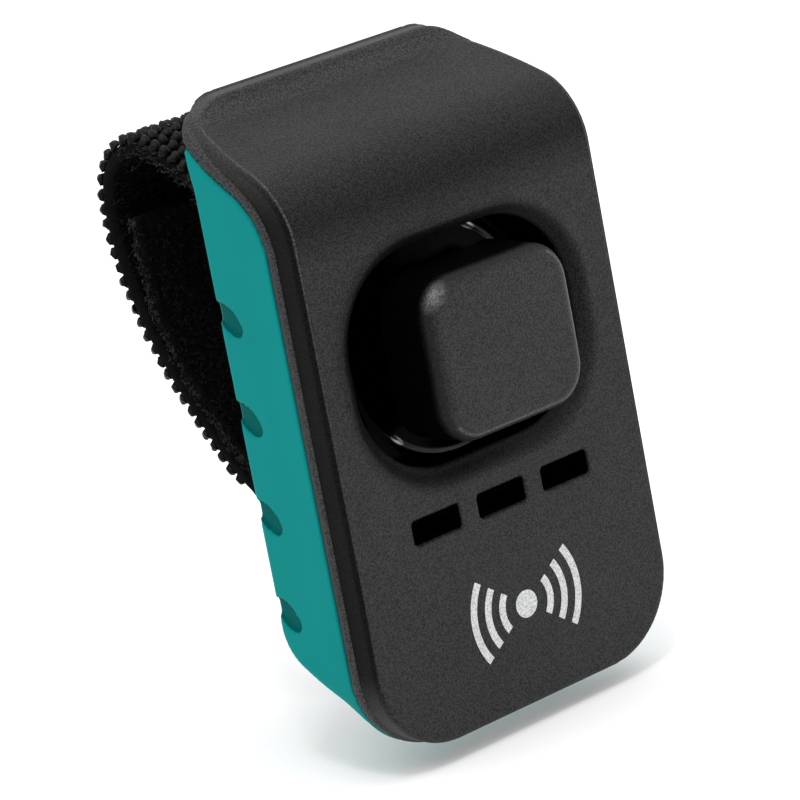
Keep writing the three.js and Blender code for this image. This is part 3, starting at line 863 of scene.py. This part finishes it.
def hem_mesh(pin_z, sides=40, chamfer=0.2):
    """The sewn loop of tape round a pin."""
    angles = [math.tau * i / sides for i in range(sides)]
    section = np.array([(math.cos(angle), math.sin(angle)) for angle in angles])
    half = STRAP_WIDTH / 2
    rows = [
        (-half, HEM_BORE), (-half, HEM_RADIUS - chamfer), (chamfer - half, HEM_RADIUS),
        (half - chamfer, HEM_RADIUS), (half, HEM_RADIUS - chamfer), (half, HEM_BORE),
    ]
    points = []
    for x, radius in rows:
        y, z = PIN_Y + radius * section[:, 0], pin_z + radius * section[:, 1]
        points.append(np.column_stack([np.full(sides, x), y, z]))
    faces = []
    for i in range(len(rows)):
        j = (i + 1) % len(rows)
        for k in range(sides):
            n = (k + 1) % sides
            faces.append([i * sides + k, j * sides + k, j * sides + n, i * sides + n])
    return np.vstack(points), faces


def tubes(lines, radii, sides):
    """Closed thin tubes along many lines. lines is (tubes, steps, 3), radii (tubes, steps)."""
    count, steps, _ = lines.shape
    along = np.gradient(lines, axis=1)
    along /= np.maximum(np.linalg.norm(along, axis=2), 1e-9)[..., None]
    guide = rng.normal(size=(count, 1, 3))
    first = np.cross(along, guide)
    first /= np.maximum(np.linalg.norm(first, axis=2), 1e-9)[..., None]
    second = np.cross(along, first)
    angle = np.arange(sides) * math.tau / sides
    cosine, sine = np.cos(angle)[:, None], np.sin(angle)[:, None]
    spoke = first[:, :, None] * cosine + second[:, :, None] * sine
    points = lines[:, :, None] + spoke * radii[:, :, None, None]
    base = (np.arange(count) * steps * sides)[:, None, None]
    level = (np.arange(steps - 1) * sides)[None, :, None]
    side, following = np.arange(sides), (np.arange(sides) + 1) % sides
    a, b = base + level + side, base + level + following
    faces = np.stack([a, b, b + sides, a + sides], -1).reshape(-1, 4).tolist()
    bottom = (base[:, 0] + side[::-1]).tolist()
    top = (base[:, 0] + (steps - 1) * sides + side).tolist()
    return points.reshape(-1, 3), faces + bottom + top


def hook_mesh(tape):
    """Staggered rows of stubby bent hooks on the tape's outer side."""
    rows = int((tape.length - HOOKS_START - 0.4) / HOOK_PITCH)
    places = [
        (x, HOOKS_START + (row + 0.3 * (column % 2)) * HOOK_PITCH)
        for row in range(rows)
        for column, x in enumerate(HOOK_COLUMNS)
    ]
    places = places + rng.uniform(-0.06, 0.06, (len(places), 2))
    tall = HOOK_HEIGHT * rng.uniform(0.9, 1.1, len(places))
    climb = np.array([-0.15, 0.25, 0.6, 0.88, 1.0, 0.93])
    bend = np.array([0, 0, 0.06, 0.2, 0.38, 0.5])
    thick = np.array([0.55, 0.52, 0.44, 0.34, 0.25, 0.12])
    lean = rng.uniform(-0.12, 0.12, len(places))
    x = places[:, :1] + lean[:, None] * climb
    distance = places[:, 1:] + tall[:, None] * bend / 0.75
    lines = tape.at(x, distance, tape.thickness / 2 + tall[:, None] * climb)
    return tubes(lines, np.broadcast_to(thick, lines.shape[:2]), 6)


def pile_mesh(tape, side, density, height, start, end, edge_share):
    """Curled loop pile on a side of the tape (1 outer, -1 inner), a share of it on the selvedges."""
    count = int(density * (end - start) * STRAP_WIDTH)
    x = rng.uniform(-STRAP_WIDTH / 2 + 0.4, STRAP_WIDTH / 2 - 0.4, count)
    edge = rng.random(count) < edge_share
    x[edge] = np.sign(x[edge]) * STRAP_WIDTH / 2
    distance = rng.uniform(start, end, count)
    off = side * tape.thickness / 2 * np.where(edge, rng.uniform(-1, 1, count), 0.9)
    tall = height * rng.uniform(0.5, 1.25, count)
    heading = rng.uniform(0, math.tau, count)
    run = rng.uniform(0.3, 1.0, count) * height * 1.1
    climb = np.array([0, 0.55, 0.95, 0.85, 0.45])
    travel = np.array([0, 0.12, 0.5, 0.9, 1.1])
    wander = 0.12 * rng.normal(size=(count, 5)) * (travel > 0)
    lines_x = x[:, None] + (np.cos(heading) * run)[:, None] * travel + wander
    lines_x += np.where(edge, np.sign(x) * 0.4 * tall, 0)[:, None] * climb
    lines_along = distance[:, None] + (np.sin(heading) * run)[:, None] * travel + wander[:, ::-1]
    rise = np.where(edge, 0.25, 1)[:, None] * side * tall[:, None] * climb
    lines = tape.at(lines_x, lines_along, off[:, None] + rise)
    radii = np.broadcast_to(np.array([0.05, 0.045, 0.045, 0.04, 0.03]), (count, 5))
    return tubes(lines, radii, 3)


def stray_mesh(tape, side, count, start, end):
    """A few long loose fibres that stand out of the pile."""
    x = rng.uniform(-STRAP_WIDTH / 2 + 0.5, STRAP_WIDTH / 2 - 0.5, count)
    distance = rng.uniform(start, end, count)
    heading = rng.uniform(0, math.tau, count)
    run = rng.uniform(0.8, 2.6, count)
    travel = np.linspace(0, 1, 7)
    curl = rng.normal(0, 0.5, (count, 1)) * np.sin(travel * math.pi)
    lines_x = x[:, None] + (np.cos(heading) * run)[:, None] * travel + curl
    lines_along = distance[:, None] + (np.sin(heading) * run)[:, None] * travel - curl
    arch = rng.uniform(0.3, 0.9, (count, 1)) * np.sin(travel * 2.4)
    rise = side * (tape.thickness / 2 + 0.2 + arch)
    return tubes(tape.at(lines_x, lines_along, rise), np.full((count, 7), 0.022), 3)


def strap_piece(name, mesh, material, body):
    piece = mesh_object(name, *mesh, [material])
    return finish_piece(piece, body, "strap_black")


def make_outer_tape():
    tape = Tape(OUTER_TAPE_LINE, OUTER_TAPE, 1)
    body = "outer_tape"
    web = strap_piece("strap_outer_web", tape_mesh(tape, 0.07), strap_web, body)
    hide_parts("strap_outer_tape")
    hem = strap_piece("strap_outer_hem", hem_mesh(UPPER_PIN_Z), strap_web, body)
    hooks = strap_piece("strap_hooks", hook_mesh(tape), strap_hook, body)
    pile_end = tape.length - 0.3
    pile = pile_mesh(tape, -1, 5.5, PILE_HEIGHT, PILE_START, pile_end, 0)
    pile = strap_piece("strap_outer_pile", pile, strap_pile, body)
    fuzz = pile_mesh(tape, -1, 1.2, 0.22, PILE_START, 18, 1)
    fuzz = strap_piece("strap_edge_fuzz", fuzz, strap_fuzz, body)
    strays = strap_piece("strap_strays", stray_mesh(tape, -1, 14, 4, 24), stray_fibre, body)


def make_inner_tape():
    tape = Tape(INNER_TAPE_LINE, INNER_TAPE, -1)
    body = "inner_tape"
    web = strap_piece("strap_inner_web", tape_mesh(tape, 0.06), strap_web, body)
    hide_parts("strap_inner_tape")
    hem = strap_piece("strap_inner_hem", hem_mesh(LOWER_PIN_Z), strap_web, body)
    pile_end = tape.length - 0.8
    pile = pile_mesh(tape, -1, 7, PILE_HEIGHT, PILE_START, pile_end, 0.1)
    pile = strap_piece("strap_inner_pile", pile, strap_pile, body)
    fuzz = pile_mesh(tape, -1, 1.2, 0.25, 6, tape.length, 1)
    fuzz = strap_piece("strap_selvedge_fuzz", fuzz, strap_fuzz, body)


# ---- CAD nodes that stay ----


def finish_cad_nodes():
    finishes = {
        "plate_carrier": inner_black, "button_core": inner_black, "button_washer": screw_steel,
        "button_screw": screw_steel, "strap_pin_upper": screw_steel, "strap_pin_lower": screw_steel,
    }
    for name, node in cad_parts.items():
        wanted = finishes.get(name, screw_steel if "screw" in name else None)
        if wanted:
            node.data.materials.clear()
            node.data.materials.append(wanted)


# ---- Camera, light and floor ----


def make_camera():
    """From the front left and a little above, rolled so that the case leans in the picture."""
    right = Vector((0.7397, -0.6475, -0.183))
    up = Vector((0.2992, 0.073, 0.9514))
    back = Vector((-0.6027, -0.7585, 0.2478))
    data = bpy.data.cameras.new("camera")
    data.sensor_width = 36
    data.lens = 199.35
    data.clip_start, data.clip_end = 0.01, 20
    camera = bpy.data.objects.new("camera", data)
    bpy.context.scene.collection.objects.link(camera)
    turn = Matrix((right, up, back)).transposed().to_4x4()
    camera.matrix_world = Matrix.Translation(Vector((-0.19963, -0.25146, 0.07980))) @ turn
    bpy.context.scene.camera = camera


def area_light(name, place, target, size, power):
    data = bpy.data.lights.new(name, "AREA")
    data.shape = "RECTANGLE"
    data.size, data.size_y = size
    data.energy = power
    light = bpy.data.objects.new(name, data)
    light.location = place
    light.rotation_mode = "QUATERNION"
    light.rotation_quaternion = (Vector(target) - Vector(place)).to_track_quat("-Z", "Y")
    bpy.context.scene.collection.objects.link(light)


def make_floor():
    shader = Shader("floor", Specular_IOR_Level=0.1)
    shader.colour(shader.noise(60, 2), (0.9, 0.9, 0.9), (0.92, 0.92, 0.92))
    shader.principled.inputs["Roughness"].default_value = 0.9
    half = 4000
    height = cover_low[2] - FLOOR_GAP
    corners = [(-half, -half), (half, -half), (half, half), (-half, half)]
    corners = np.array([(x, y, height) for x, y in corners], float)
    floor = mesh_object("floor", corners, [[0, 1, 2, 3]], [shader.material])


def make_light():
    scene = bpy.context.scene
    scene.view_settings.view_transform = "Standard"
    scene.world = bpy.data.worlds.new("studio")
    scene.world.use_nodes = True
    background = scene.world.node_tree.nodes["Background"]
    background.inputs["Color"].default_value = (1, 1, 1, 1)
    background.inputs["Strength"].default_value = 0.9
    area_light("top_softbox", (-0.1, -0.1, 1.2), (0, 0, 0), (2.0, 2.0), 13)
    area_light("right_softbox", (0.5, -0.35, 0.15), (0, 0, 0), (0.4, 0.6), 0.6)
    area_light("key", (-0.26, -0.29, 0.7), (0, 0, 0), (0.12, 0.12), 1.2)


make_camera()
make_floor()
make_light()
make_cover()
make_shell()
make_screws()
make_print()
make_button()
make_plate()
make_inner_tape()
make_outer_tape()
finish_cad_nodes()
